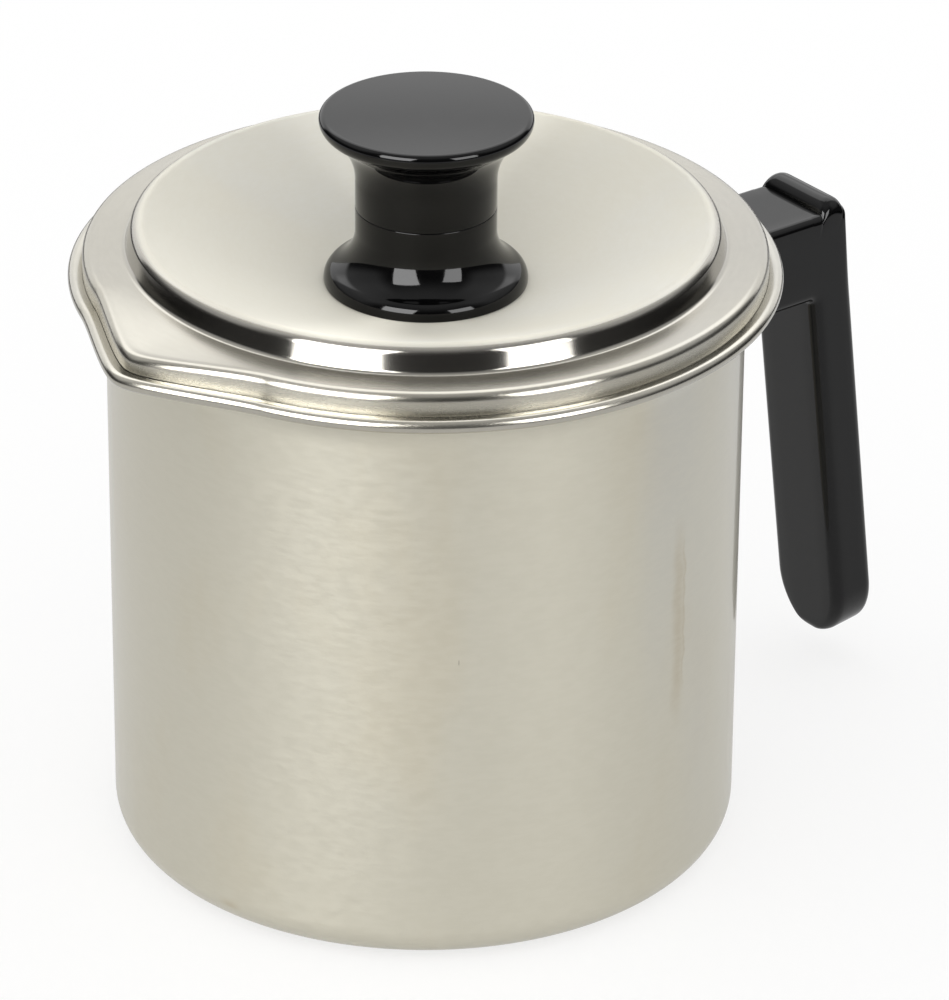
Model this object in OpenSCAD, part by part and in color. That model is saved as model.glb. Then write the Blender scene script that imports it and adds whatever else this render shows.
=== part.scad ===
// Covered bacon grease pot: a drawn stainless pot with a flared pouring rim, a side handle
// on a welded bracket, a drop-in strainer and a dished lid with a two-piece knob.
// The origin is at the middle of the pot's underside, +Z is up and the handle points along +X.

/* [Pot] */
// Outside diameter of the straight pot wall
body_d = 127; // [110:0.5:150]
// Height of the pot from its underside to the top of its rim
pot_h = 123.4; // [118:0.1:150]
// Thickness of the sheet that the pot and the lid are drawn from
wall = 0.8; // [0.6:0.05:1.1]
// Outside radius of the corner between the wall and the floor
corner_r = 7; // [4:0.5:10]

/* [Rim] */
// Height of the flare, from where it leaves the wall to the top of the rim
flare_h = 9.5; // [8:0.1:10]
// Radius that the inner face of the flare is bent to
flare_r = 10.8; // [10.8:0.1:13]
// Radial gap between the end of the flare and the middle of the bead
bead_reach = 1.35; // [1:0.05:1.8]
// Thickness of the rolled bead round the rim
bead_d = 2.8; // [2.4:0.1:3.4]

/* [Spout] */
// Extra reach of the rim at the tip of the spout
spout_out = 7.4; // [4:0.1:10]
// Half of the angle that the spout takes up on the rim
spout_half = 22.7; // [18:0.1:30]
// Angle of the spout from dead opposite the handle
spout_turn = 3.5; // [-6:0.5:6]
// Sharpness of the curve from the rim to the spout's tip
spout_power = 1.67; // [1.2:0.01:2.2]

/* [Lid] */
// Height of the lid's flat ring above the top of the rim
lid_rise = 4.4; // [3.6:0.1:6]
// Outside radius of the lid's rounded edge
lid_edge_r = 1.65; // [1.2:0.05:2]
// Radial room between the lid's skirt and the end of the flare
skirt_room = 0.2; // [0.1:0.05:0.4]
// Height of the lid's skirt above the top of the rim
skirt_lift = 0.05; // [0:0.05:0.4]
// Extra reach of the lid's beak over the spout
beak_out = 5.6; // [3:0.1:6]
// How far the tip of the beak bends down
beak_dip = 2.2; // [0:0.1:2.3]
// Radial width of the lid's flat ring and rounded edge, outside the crest
ring_w = 8.5; // [7:0.1:12]
// Height of the crest above the lid's flat ring
crest_h = 5.2; // [4:0.1:8]
// Radial width of the crest's steep outer face
crest_run = 0.95; // [0.6:0.05:3]
// Radius over the top of the crest
crest_r = 2.2; // [1.6:0.1:3]
// Depth of the lid's dished middle below the top of the crest
dish_depth = 13.2; // [8:0.1:14]
// Width of the flat seat in the dish beyond the knob's foot
seat_margin = 0.3; // [0:0.1:3]

/* [Knob] */
// Diameter of the knob's foot
knob_foot_d = 40.6; // [37:0.1:41]
// Diameter of the knob's neck
knob_neck_d = 28.1; // [25:0.1:30]
// Diameter of the knob's round top
knob_top_d = 42.3; // [39:0.1:46]
// Height of the knob's lower piece
knob_foot_h = 16.2; // [15:0.1:19]
// Height of the knob's upper piece
knob_cap_h = 20.2; // [18:0.1:24]
// Thickness of the knob's rounded top edge
knob_edge_t = 4.2; // [3:0.1:5]

/* [Handle] */
// Width of the handle
handle_w = 20.4; // [18:0.1:24]
// Thickness of the grip
grip_t = 10.6; // [9.6:0.1:13]
// Height of the arm that carries the grip
arm_h = 19.5; // [17:0.1:22]
// Depth of the top of the arm below the top of the rim
arm_drop = 12.7; // [12:0.1:20]
// Distance from the wall to the grip where it leaves the arm
finger_gap = 30.1; // [26:0.1:36]
// Lean of the grip away from the pot
grip_lean = 7.15; // [3:0.05:9]
// Height of the grip's lower end above the pot's underside
grip_end = 7.4; // [3:0.1:30]
// Radius on the handle's long edges
edge_r = 2.25; // [1.5:0.05:3]
// Height of the thumb ridge above the arm
ridge_h = 2.6; // [1.6:0.1:3.2]
// Width of the thumb ridge
ridge_w = 6.6; // [6:0.1:8]

/* [Bracket] */
// Width of the bracket plate round the wall
plate_w = 24; // [18:0.5:32]
// Height of the bracket plate
plate_h = 23; // [18:0.5:25]
// Thickness of the bracket plate
plate_t = 1.2; // [0.8:0.1:2]
// Diameter of the threaded boss
boss_d = 10; // [9:0.5:12]
// Length of the threaded boss
boss_l = 10; // [8:0.5:13]

/* [Screws] */
// Thread diameter of the handle screw
handle_screw_d = 5; // [4:0.5:6]
// Head diameter of the handle screw
handle_head_d = 9; // [8:0.5:10]
// Length of the handle screw's thread inside the boss
handle_grip_l = 7.5; // [6:0.1:7.7]
// Thread diameter of the knob screw
knob_screw_d = 4; // [3:0.5:5]
// Head diameter of the knob screw
knob_head_d = 8; // [7:0.5:9]
// Length of the knob screw's thread inside its insert
knob_grip_l = 7; // [5:0.1:10]
// Height of the screw heads
head_h = 2.6; // [2:0.1:3.2]
// Thickness of the spring washers
washer_t = 1; // [0.8:0.1:1.4]
// Room round a screw in the hole that it passes through
screw_room = 0.25; // [0.15:0.05:0.4]
// Room between a thread and its tapped hole
thread_room = 0.05; // [0.03:0.01:0.1]

/* [Strainer] */
// Depth of the strainer below its flange
strainer_depth = 26; // [20:0.5:40]
// Thickness of the strainer's sheet
strainer_t = 0.6; // [0.5:0.05:0.8]
// Outside radius of the corner round the strainer's floor
strainer_corner = 6; // [3:0.5:8]
// Room between the strainer's cup and the pot's wall
strainer_room = 1.2; // [0.8:0.1:2]
// Room between the strainer's flange and the flare below it
flange_room = 0.3; // [0.25:0.05:0.6]
// How far the flange reaches out over the flare
flange_out = 2.7; // [2.2:0.1:3.2]
// Diameter of the strainer's holes
hole_d = 2.6; // [2:0.1:3.2]
// Distance between the rings of holes
ring_step = 8.8; // [7.5:0.1:9.2]
// Number of rings of holes round the middle one
hole_rings = 5; // [3:1:5]

/* [Hidden] */
$fn = 96;

// Pot and rim
body_r = body_d / 2;
bore_r = body_r - wall;
flare_z = pot_h - flare_h;
flare_cx = bore_r + flare_r;
crown_drop = 0.15;
flare_end = asin((flare_h - crown_drop) / flare_r);
flare_end_r = flare_cx - flare_r * cos(flare_end);
bead_r = bead_d / 2;
bead_cx = flare_end_r + bead_reach;
bead_cz = pot_h - bead_r;
spout_at = 180 + spout_turn;
spout_blunt = 2.5;
spout_steps = 28;
spout_lap = 0.5;
sweep_inset = 0.02;

// Lid
lid_r = flare_end_r - skirt_room;
ring_z = pot_h + lid_rise;
skirt_z = pot_h + skirt_lift;
lid_flat_r = lid_r - lid_edge_r;
crest_foot_r = lid_r - ring_w;
crest_lean = 15;
crest_cx = crest_foot_r - crest_run - crest_r * cos(crest_lean);
crest_top_z = ring_z + crest_h;
crest_cz = crest_top_z - crest_r;
dish_tilt = 24;
dish_power = 1.25;
seat_z = crest_top_z - dish_depth;
seat_r = knob_foot_d / 2 + seat_margin;
beak_root_r = crest_foot_r + 1;
beak_full_r = lid_flat_r - 1;

// Knob
foot_r = knob_foot_d / 2;
neck_r = knob_neck_d / 2;
top_r = knob_top_d / 2;
seam_z = seat_z + knob_foot_h;
insert_d = 9;
insert_l = 12;
insert_inset = 1;
insert_room = 0.02;

// Handle, bracket and screws
arm_top = pot_h - arm_drop;
arm_z = arm_top - arm_h;
screw_z = arm_top - arm_h / 2;
grip_in = body_r + finger_gap;
outer_x = grip_in + grip_t / cos(grip_lean) - (arm_top - arm_z) * tan(grip_lean);
plate_r = body_r + plate_t;
boss_end = plate_r + boss_l;
plate_corner = 3;
bore_floor = 1;
seat_depth = 5.5;
head_seat = outer_x - seat_depth;
handle_room = 0.1;
head_room = 0.75;
handle_slot = 1.2;
knob_slot = 1;

// How far the leaning outer face moves from the arm's top to the middle of the thumb ridge
ridge_run = (ridge_w / 2 - ridge_h) * tan(grip_lean);

// Points along an arc in the plane of a profile
function arc(cx, cy, r, from, to, n) =
    [for (i = [0:n]) let (a = from + (to - from) * i / n) [cx + r * cos(a), cy + r * sin(a)]];

// Share of the spout's reach at an angle off its middle line
function soft(a) = sqrt(a * a + spout_blunt * spout_blunt) - spout_blunt;
function spout_share(a) =
    abs(a) >= spout_half ? 0 : pow(1 - soft(a) / soft(spout_half), spout_power);

// Where the flare's outer face runs into the bead, as angles round the bead and the flare
flare_dx = flare_cx - bead_cx;
flare_dz = flare_z - bead_cz;
flare_gap = norm([flare_dx, flare_dz]);
meet = acos((pow(flare_gap, 2) + pow(bead_r, 2) - pow(flare_r - wall, 2)) / (2 * flare_gap * bead_r));
bead_stop = atan2(flare_dz, flare_dx) - meet;
outer_end = atan2(bead_cz + bead_r * sin(bead_stop) - flare_z,
    flare_cx - bead_cx - bead_r * cos(bead_stop));

// Cross-section of the flared rim as two runs of points that meet at the outside of the bead:
// up the inner face and over the top, and up the outer face and under the bead. Its root is a
// tongue inside the thickness of the wall. An inset draws all of it back from the faces.
flare_pts = 8;
root_inset = 0.05;
root_lap = 0.6;
root_rise = 0.1;
meet_gap = 1;
flare_step = flare_end / flare_pts;
outer_step = (outer_end - meet_gap) / flare_pts;
bead_pts = 9;
bead_start = 105;
bead_split = -45;
split_gap = 5;
function root(r) = [for (z = [-root_lap, root_rise]) [r, flare_z + z]];
function rim_inner(inset) = concat(
    root(bore_r + root_inset + inset),
    arc(flare_cx, flare_z, flare_r - inset, 180 - flare_step, 180 - flare_end, flare_pts - 1),
    arc(bead_cx, bead_cz, bead_r - inset, bead_start, bead_split, bead_pts));
function rim_outer(inset) = concat(
    root(body_r - root_inset - inset),
    arc(flare_cx, flare_z, flare_r - wall + inset, 180 - outer_step, 180 + meet_gap - outer_end,
        flare_pts - 1),
    arc(bead_cx, bead_cz, bead_r - inset, bead_stop, bead_split - split_gap, bead_pts));

// Cross-section of the lid outside its crest: over the rounded edge and down the skirt,
// on the upper and on the lower face. It starts inside the thickness of the flat ring.
edge_pts = 6;
function edge_upper(inset) = concat(
    [[beak_root_r - root_lap, ring_z - inset]],
    arc(lid_flat_r, ring_z - lid_edge_r, lid_edge_r - inset, 90, 0, edge_pts),
    [[lid_r - inset, skirt_z + inset]]);
function edge_lower(inset) = concat(
    [[beak_root_r - root_lap, ring_z - wall + inset]],
    arc(lid_flat_r, ring_z - lid_edge_r, lid_edge_r - wall + inset, 90, 0, edge_pts),
    [[lid_r - wall + inset, skirt_z + inset]]);

// Dish of the lid, from the seat to the crest
dish_end_r = crest_cx - crest_r * sin(dish_tilt);
dish_end_z = crest_cz + crest_r * cos(dish_tilt);
dish_steps = 8;
dish_points = [
    for (i = [0:dish_steps])
        let (u = i / dish_steps)
            [seat_r + (dish_end_r - seat_r) * u,
             seat_z + (dish_end_z - seat_z) * pow(u, dish_power)]];
function lowered(points, by) = [for (i = [len(points) - 1:-1:0]) points[i] - [0, by]];

// Outline of the knob's lower piece above its foot: a round shoulder, then a hollow up the neck
shoulder_r = 3.2;
shoulder_z = 0.6;
shoulder_end = 62;
shoulder_cx = foot_r - shoulder_r;
hollow_r = (shoulder_cx - neck_r + shoulder_r * cos(shoulder_end)) / (1 - cos(shoulder_end));
hollow_cx = neck_r + hollow_r;
hollow_z = shoulder_z + (shoulder_r + hollow_r) * sin(shoulder_end);
foot_edge = 0.3;
base_outline = concat(
    [[0, 0], [foot_r - foot_edge, 0]],
    arc(shoulder_cx, shoulder_z, shoulder_r, 0, shoulder_end, 8),
    arc(hollow_cx, hollow_z, hollow_r, 180 + shoulder_end, 180, 8),
    [[neck_r, knob_foot_h], [0, knob_foot_h]]);

// Outline of the knob's upper piece: a hollow up to the underside of the round edge
crown = 0.5;
edge_half = knob_edge_t / 2;
edge_cx = top_r - edge_half;
edge_z = knob_cap_h - crown - edge_half;
under_r = 7.4;
under_tilt = 20;
under_cx = neck_r + under_r;
under_z = edge_z - (edge_half + under_r) * cos(under_tilt);
cap_outline = concat(
    [[0, 0], [neck_r, 0]],
    arc(under_cx, under_z, under_r, 180, 90 + under_tilt, 8),
    arc(edge_cx, edge_z, edge_half, under_tilt - 90, 80, 10),
    [[edge_cx / 2, knob_cap_h - crown / 4], [0, knob_cap_h]]);

// The points of one run in order, then those of the other in reverse
function loop(run_a, run_b) = concat(run_a, [for (i = [len(run_b) - 1:-1:0]) run_b[i]]);

// A cross-section between two runs of points, carried round the spout's angle and a little
// into the round part at both ends. A pair of points moves out by its share of the reach, and
// down by its share of the dip.
module spout_sweep(run_a, run_b, reach, dip, root_r, full_r, fixed_z, free_z) {
    half = len(run_a);
    count = 2 * half;
    profile = loop(run_a, run_b);
    pair_share = [for (p = run_a) min(max((p[0] - root_r) / (full_r - root_r), 0), 1)];
    share = loop(pair_share, pair_share);
    function fall(z) = min(max((z - fixed_z) / (free_z - fixed_z), 0), 1);
    last = spout_half + 2 * spout_lap;
    angles = concat(
        [-last],
        [for (k = [0:spout_steps]) spout_half * (2 * k / spout_steps - 1)],
        [last]);
    points = [
        for (a = angles)
            let (s = spout_share(a))
                for (i = [0:count - 1])
                    let (p = profile[i], m = s * share[i], r = p[0] + reach * m)
                        [r * cos(spout_at + a), r * sin(spout_at + a), p[1] - dip * m * fall(p[1])]];
    rings = len(angles);
    sides = [
        for (k = [0:rings - 2])
            for (i = [0:count - 1])
                let (j = (i + 1) % count, a = k * count, b = (k + 1) * count)
                    each [[a + i, b + j, a + j], [a + i, b + i, b + j]]];
    ends = [
        for (i = [0:half - 2])
            let (j = count - 1 - i, e = (rings - 1) * count)
                each [[i, i + 1, j - 1], [i, j - 1, j],
                      [e + i, e + j - 1, e + i + 1], [e + i, e + j, e + j - 1]]];
    polyhedron(points = points, faces = concat(sides, ends), convexity = 6);
}

// The same cross-section carried round the rest of the circle
module round_sweep(run_a, run_b) {
    rotate([0, 0, spout_at + spout_half + spout_lap])
        rotate_extrude(angle = 360 - 2 * (spout_half + spout_lap))
            polygon(loop(run_a, run_b));
}

// A round cup with a rounded corner at its floor, as a solid
module cup_form(r, h, corner) {
    cylinder(r = r - corner, h = corner);
    translate([0, 0, corner])
        cylinder(r = r, h = h - corner);
    rotate_extrude()
        translate([r - corner, corner])
            intersection() {
                circle(r = corner);
                translate([0, -corner])
                    square(corner);
            }
}

module round_rect(a, b, r) {
    square([a - 2 * r, b], center = true);
    square([a, b - 2 * r], center = true);
    for (x = [-1, 1], y = [-1, 1])
        translate([x * (a / 2 - r), y * (b / 2 - r)])
            circle(r = r);
}

module ring_washer(d, hole, t) {
    difference() {
        cylinder(d = d, h = t);
        translate([0, 0, -1])
            cylinder(d = hole, h = t + 2);
    }
}

module pan_screw(d, length, head_d, slot_w) {
    difference() {
        union() {
            translate([0, 0, -head_h])
                cylinder(d = head_d, h = head_h);
            cylinder(d = d, h = length);
        }
        translate([-head_d, -slot_w / 2, -head_h - 1])
            cube([2 * head_d, slot_w, 1 + head_h / 2]);
    }
}

module pot_body() {
    color([0.78, 0.77, 0.73]) {
        difference() {
            cup_form(body_r, flare_z, corner_r);
            translate([0, 0, wall])
                cup_form(bore_r, flare_z, corner_r - wall);
        }
        round_sweep(rim_inner(0), rim_outer(0));
        spout_sweep(rim_inner(sweep_inset), rim_outer(sweep_inset), spout_out, 0,
            bore_r + root_inset + sweep_inset, flare_end_r, 0, 1);
    }
}

module handle_bracket() {
    color([0.7, 0.7, 0.7])
        intersection() {
            difference() {
                translate([0, 0, screw_z - plate_h / 2])
                    cylinder(r = plate_r, h = plate_h);
                translate([0, 0, screw_z - plate_h])
                    cylinder(r = body_r, h = 2 * plate_h);
            }
            translate([0, 0, screw_z])
                rotate([0, 90, 0])
                    linear_extrude(2 * body_r)
                        round_rect(plate_h, plate_w, plate_corner);
        }
}

module bracket_boss() {
    color([0.65, 0.65, 0.66])
        difference() {
            translate([0, 0, screw_z])
                rotate([0, 90, 0])
                    cylinder(d = boss_d, h = boss_end);
            translate([0, 0, screw_z - boss_d])
                cylinder(r = plate_r, h = 2 * boss_d);
            translate([plate_r + bore_floor, 0, screw_z])
                rotate([0, 90, 0])
                    cylinder(d = handle_screw_d + 2 * thread_room, h = boss_l);
        }
}

// The grip in its own frame: inner face at x = 0, standing up from the middle of its round end
module grip() {
    drop = (arm_z - grip_end) / cos(grip_lean) - handle_w / 2;
    rise = (arm_top + ridge_h - ridge_w / 2 - arm_z) / cos(grip_lean);
    translate([grip_in, 0, arm_z])
        rotate([0, -grip_lean, 0])
            translate([0, 0, -drop]) {
                translate([grip_t / 2, 0, 0])
                    linear_extrude(drop + rise)
                        round_rect(grip_t, handle_w, edge_r);
                rotate([0, 90, 0])
                    rotate_extrude() {
                        translate([0, edge_r])
                            square([handle_w / 2, grip_t - 2 * edge_r]);
                        square([handle_w / 2 - edge_r, grip_t]);
                        for (y = [edge_r, grip_t - edge_r])
                            translate([handle_w / 2 - edge_r, y])
                                circle(r = edge_r);
                    }
            }
}

module thumb_ridge() {
    r = ridge_w / 2;
    reach = handle_w / 2 - r;
    translate([outer_x + ridge_run - r, 0, arm_top + ridge_h - r]) {
        rotate([90, 0, 0])
            cylinder(r = r, h = 2 * reach, center = true);
        for (y = [-reach, reach])
            translate([0, y, 0])
                sphere(r = r);
    }
}

module handle() {
    arm_end = outer_x - ridge_w / 2;
    color([0.06, 0.06, 0.065])
        difference() {
            union() {
                translate([0, 0, screw_z])
                    rotate([0, 90, 0])
                        linear_extrude(arm_end)
                            round_rect(arm_h, handle_w, edge_r);
                grip();
                thumb_ridge();
            }
            translate([0, 0, screw_z - arm_h])
                cylinder(r = plate_r + handle_room, h = 2 * arm_h);
            translate([body_r, 0, screw_z])
                rotate([0, 90, 0]) {
                    cylinder(d = boss_d + 2 * screw_room, h = boss_end + screw_room - body_r);
                    cylinder(d = handle_screw_d + 2 * screw_room, h = outer_x);
                    translate([0, 0, head_seat - body_r])
                        cylinder(d = handle_head_d + 2 * head_room, h = grip_t);
                }
        }
}

module handle_washer() {
    color([0.75, 0.75, 0.76])
        translate([head_seat, 0, screw_z])
            rotate([0, 90, 0])
                ring_washer(handle_head_d, handle_screw_d + 2 * screw_room, washer_t);
}

module handle_screw() {
    under_head = head_seat + washer_t;
    color([0.72, 0.72, 0.73])
        translate([under_head, 0, screw_z])
            rotate([0, -90, 0])
                pan_screw(handle_screw_d, under_head - boss_end + handle_grip_l, handle_head_d,
                    handle_slot);
}

module strainer() {
    cup_r = bore_r - strainer_room;
    flange_r = bore_r + flange_out;
    flange_z = flare_z + flare_r * sin(acos(1 - flange_out / flare_r)) + flange_room;
    floor_z = flange_z + strainer_t - strainer_depth;
    color([0.72, 0.72, 0.71])
        difference() {
            union() {
                translate([0, 0, floor_z])
                    cup_form(cup_r, strainer_depth, strainer_corner);
                translate([0, 0, flange_z])
                    cylinder(r = flange_r, h = strainer_t);
            }
            translate([0, 0, floor_z + strainer_t])
                cup_form(cup_r - strainer_t, strainer_depth, strainer_corner - strainer_t);
            for (k = [0:hole_rings])
                for (i = [0:max(6 * k, 1) - 1])
                    rotate([0, 0, 360 * i / max(6 * k, 1)])
                        translate([k * ring_step, 0, floor_z - 1])
                            cylinder(d = hole_d, h = strainer_t + 2, $fn = 24);
        }
}

module lid() {
    color([0.8, 0.79, 0.75]) {
        difference() {
            rotate_extrude()
                polygon(concat(
                    [[0, seat_z - wall], [0, seat_z]],
                    dish_points,
                    arc(crest_cx, crest_cz, crest_r, 90 + dish_tilt, crest_lean, 8),
                    [[crest_foot_r, ring_z], [beak_root_r, ring_z],
                     [beak_root_r, ring_z - wall], [crest_foot_r - wall, ring_z - wall]],
                    arc(crest_cx, crest_cz, crest_r - wall, crest_lean, 90 + dish_tilt, 5),
                    lowered(dish_points, wall)));
            translate([0, 0, seat_z - 2 * wall])
                cylinder(d = knob_screw_d + 2 * screw_room, h = 3 * wall);
        }
        round_sweep(edge_upper(0), edge_lower(0));
        spout_sweep(edge_upper(sweep_inset), edge_lower(sweep_inset), beak_out, beak_dip,
            beak_root_r, beak_full_r, skirt_z, ring_z - lid_edge_r);
    }
}

module knob_base() {
    color([0.07, 0.07, 0.08])
        difference() {
            translate([0, 0, seat_z])
                rotate_extrude()
                    polygon(base_outline);
            translate([0, 0, seat_z - 1])
                cylinder(d = knob_screw_d + 2 * screw_room, h = knob_foot_h + 2);
        }
}

module knob_top() {
    color([0.06, 0.06, 0.07])
        difference() {
            translate([0, 0, seam_z])
                rotate_extrude()
                    polygon(cap_outline);
            translate([0, 0, seam_z - 1])
                cylinder(d = insert_d + 2 * insert_room, h = insert_inset + insert_l + 1);
        }
}

module knob_insert() {
    color([0.8, 0.65, 0.3])
        translate([0, 0, seam_z + insert_inset])
            ring_washer(insert_d, knob_screw_d + 2 * thread_room, insert_l);
}

module knob_washer() {
    color([0.75, 0.75, 0.76])
        translate([0, 0, seat_z - wall - washer_t])
            ring_washer(knob_head_d, knob_screw_d + 2 * screw_room, washer_t);
}

module knob_screw() {
    under_head = seat_z - wall - washer_t;
    color([0.72, 0.72, 0.73])
        translate([0, 0, under_head])
            pan_screw(knob_screw_d, seam_z + insert_inset + knob_grip_l - under_head, knob_head_d,
                knob_slot);
}

pot_body();
handle_bracket();
bracket_boss();
handle();
handle_washer();
handle_screw();
strainer();
lid();
knob_base();
knob_top();
knob_insert();
knob_washer();
knob_screw();
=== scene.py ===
import math

import bpy
import numpy as np
from mathutils import Matrix, Vector


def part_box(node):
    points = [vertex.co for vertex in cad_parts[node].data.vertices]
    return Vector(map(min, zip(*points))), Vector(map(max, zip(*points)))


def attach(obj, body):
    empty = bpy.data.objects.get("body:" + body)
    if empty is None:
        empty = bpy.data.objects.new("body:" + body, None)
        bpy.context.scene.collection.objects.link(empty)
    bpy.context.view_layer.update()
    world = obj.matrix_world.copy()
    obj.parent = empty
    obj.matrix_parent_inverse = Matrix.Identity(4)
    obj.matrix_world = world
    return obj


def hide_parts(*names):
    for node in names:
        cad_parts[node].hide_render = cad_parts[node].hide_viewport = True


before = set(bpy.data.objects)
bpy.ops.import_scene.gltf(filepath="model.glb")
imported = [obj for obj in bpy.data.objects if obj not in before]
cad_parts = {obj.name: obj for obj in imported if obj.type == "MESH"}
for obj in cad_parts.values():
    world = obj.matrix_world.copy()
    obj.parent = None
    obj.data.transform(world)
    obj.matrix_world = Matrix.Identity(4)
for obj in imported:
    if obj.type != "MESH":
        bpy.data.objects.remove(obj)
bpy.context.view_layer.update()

mm = 0.001


def nodeBox(name):
    # the node's lowest and highest corner, in millimetres
    low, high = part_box(name)
    return np.array(low) / mm, np.array(high) / mm


# helpers for profiles and surfaces

def arc(cx, cz, r, start, end, count):
    # points (cx + r cos t, cz + r sin t) for t from start to end, in degrees
    t = np.radians(np.linspace(start, end, count))
    return np.stack([cx + r * np.cos(t), cz + r * np.sin(t)], -1)


def line(start, end, count):
    # evenly spaced points from start to end, without the last one
    t = np.linspace(0, 1, count, endpoint=False)[:, None]
    return np.array(start) * (1 - t) + np.array(end) * t


def fullTurn(count):
    # evenly spaced angles round the axis, without the last one
    return np.linspace(0, 2 * math.pi, count, endpoint=False)


def fillet(before, corner, after, r, count):
    # an arc of radius r that touches both straight lines meeting at the corner
    u = (np.array(before) - corner) / np.linalg.norm(np.array(before) - corner)
    v = (np.array(after) - corner) / np.linalg.norm(np.array(after) - corner)
    half = math.acos(float(u @ v)) / 2
    centre = np.array(corner) + (u + v) / np.linalg.norm(u + v) * r / math.sin(half)
    a = np.array(corner) + u * r / math.tan(half) - centre
    b = np.array(corner) + v * r / math.tan(half) - centre
    t = np.linspace(0, 1, count)[:, None]
    total = math.acos(float(a @ b) / r ** 2)
    return centre + (np.sin((1 - t) * total) * a + np.sin(t * total) * b) / math.sin(total)


def smoothStep(x, low, high):
    # 0 below low, 1 above high, and 3t^2 - 2t^3 between them
    t = np.clip((x - low) / (high - low), 0, 1)
    return t * t * (3 - 2 * t)


def gridFaces(index, wrapRows, wrapCols):
    # quads between neighbouring rows and columns of an index grid, with repeated corners dropped
    rows = np.vstack([index, index[:1]]) if wrapRows else index
    grid = np.hstack([rows, rows[:, :1]]) if wrapCols else rows
    quads = np.stack([grid[:-1, :-1], grid[1:, :-1], grid[1:, 1:], grid[:-1, 1:]], -1).reshape(-1, 4)
    whole = (quads[:, 0] != quads[:, 1]) & (quads[:, 2] != quads[:, 3])
    whole &= (quads[:, 1] != quads[:, 2]) & (quads[:, 3] != quads[:, 0])
    faces = quads[whole].tolist()
    for q in quads[~whole].tolist():
        corners = list(dict.fromkeys(q))
        if len(corners) > 2:
            faces.append(corners)
    return faces


def meshPiece(name, points, faces, sharpAngle, values=None):
    # one mesh object at the origin from points in millimetres, with its faces turned outwards
    mesh = bpy.data.meshes.new(name)
    mesh.from_pydata((points * mm).tolist(), [], faces)
    mesh.update()
    mesh.calc_loop_triangles()
    tris = np.empty(len(mesh.loop_triangles) * 3, np.int32)
    mesh.loop_triangles.foreach_get("vertices", tris)
    a, b, c = (points[tris.reshape(-1, 3)[:, k]] for k in range(3))
    if np.einsum("ij,ij->", a, np.cross(b, c)) < 0:
        mesh.flip_normals()
    mesh.shade_smooth()
    mesh.set_sharp_from_angle(angle=math.radians(sharpAngle))
    for key, value in (values or {}).items():
        mesh.attributes.new(key, "FLOAT", "POINT").data.foreach_set("value", value.astype(np.float32))
    piece = bpy.data.objects.new(name, mesh)
    bpy.context.scene.collection.objects.link(piece)
    return piece


def turned(name, profile, around, warp=None, looped=False, sharpAngle=40, values=None):
    # the profile (r, z) carried round Z: (r cos a, r sin a, z), after warp has moved (r, z) by angle
    rows, cols = len(around), len(profile)
    a = around[:, None]
    r = np.repeat(profile[None, :, 0], rows, 0)
    z = np.repeat(profile[None, :, 1], rows, 0)
    if warp:
        r, z = warp(r, z, a)
    points = np.stack([r * np.cos(a), r * np.sin(a), z], -1).reshape(-1, 3)
    index = np.arange(rows * cols).reshape(rows, cols)
    for end in (0, cols - 1):
        if profile[end, 0] < 1e-6:  # a pole is one vertex
            index[:, end] = index[0, end]
    used, flat = np.unique(index, return_inverse=True)
    spread = {key: np.tile(v, rows)[used] for key, v in (values or {}).items()}
    faces = gridFaces(flat.reshape(rows, cols), True, looped)
    return meshPiece(name, points[used], faces, sharpAngle, spread)


# materials

class Wire:
    # a node's output that takes part in Python arithmetic, each step adding its Math node
    def __init__(self, net, socket):
        self.net, self.socket = net, socket

    def math(self, operation, *others):
        return self.net.add("ShaderNodeMath", {"operation": operation}, dict(enumerate((self,) + others)))

    def __add__(self, other): return self.math("ADD", other)
    def __radd__(self, other): return self.math("ADD", other)
    def __mul__(self, other): return self.math("MULTIPLY", other)
    def __rmul__(self, other): return self.math("MULTIPLY", other)
    def __sub__(self, other): return self.math("SUBTRACT", other)
    def __rsub__(self, other): return (self * -1.0) + other
    def __pow__(self, other): return self.math("POWER", other)


class Net:
    # a material's or a world's node tree, with one method that adds any node
    def __init__(self, tree):
        self.tree = tree
        tree.nodes.clear()

    def add(self, kind, settings=None, inputs=None, output=0):
        node = self.tree.nodes.new(kind)
        for key, value in (settings or {}).items():
            setattr(node, key, value)
        for key, value in (inputs or {}).items():
            if isinstance(value, Wire):
                self.tree.links.new(value.socket, node.inputs[key])
            else:
                node.inputs[key].default_value = value
        return Wire(self, node.outputs[output]) if node.outputs else None

    def mix(self, share, a, b):
        # a colour between a and b
        settings = {"data_type": "RGBA"}
        return self.add("ShaderNodeMix", settings, {0: share, 6: a, 7: b}, 2)

    def place(self, scale=(1, 1, 1)):
        # object coordinates in metres, stretched by scale
        here = self.add("ShaderNodeTexCoord", output=3)
        return self.add("ShaderNodeVectorMath", {"operation": "MULTIPLY"}, {0: here, 1: scale})

    def noise(self, vector, size, detail=3.0, rough=0.5):
        # noise from about 0.3 to 0.7, with features of that size in metres
        inputs = {"Vector": vector, "Scale": 1 / size, "Detail": detail, "Roughness": rough}
        return self.add("ShaderNodeTexNoise", inputs=inputs)

    def spread(self, value, low, high, outLow=0.0, outHigh=1.0):
        # value carried from low..high to outLow..outHigh and held there
        settings = {"interpolation_type": "SMOOTHSTEP"}
        return self.add("ShaderNodeMapRange", settings, {0: value, 1: low, 2: high, 3: outLow, 4: outHigh})


def newMaterial(name, constants, build):
    # a Principled material: constants go on its sockets, build(net) returns the linked ones
    material = bpy.data.materials.new(name)
    material.use_nodes = True
    net = Net(material.node_tree)
    shader = net.add("ShaderNodeBsdfPrincipled", inputs={**constants, **build(net)})
    net.add("ShaderNodeOutputMaterial", inputs={"Surface": shader})
    return material


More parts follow.
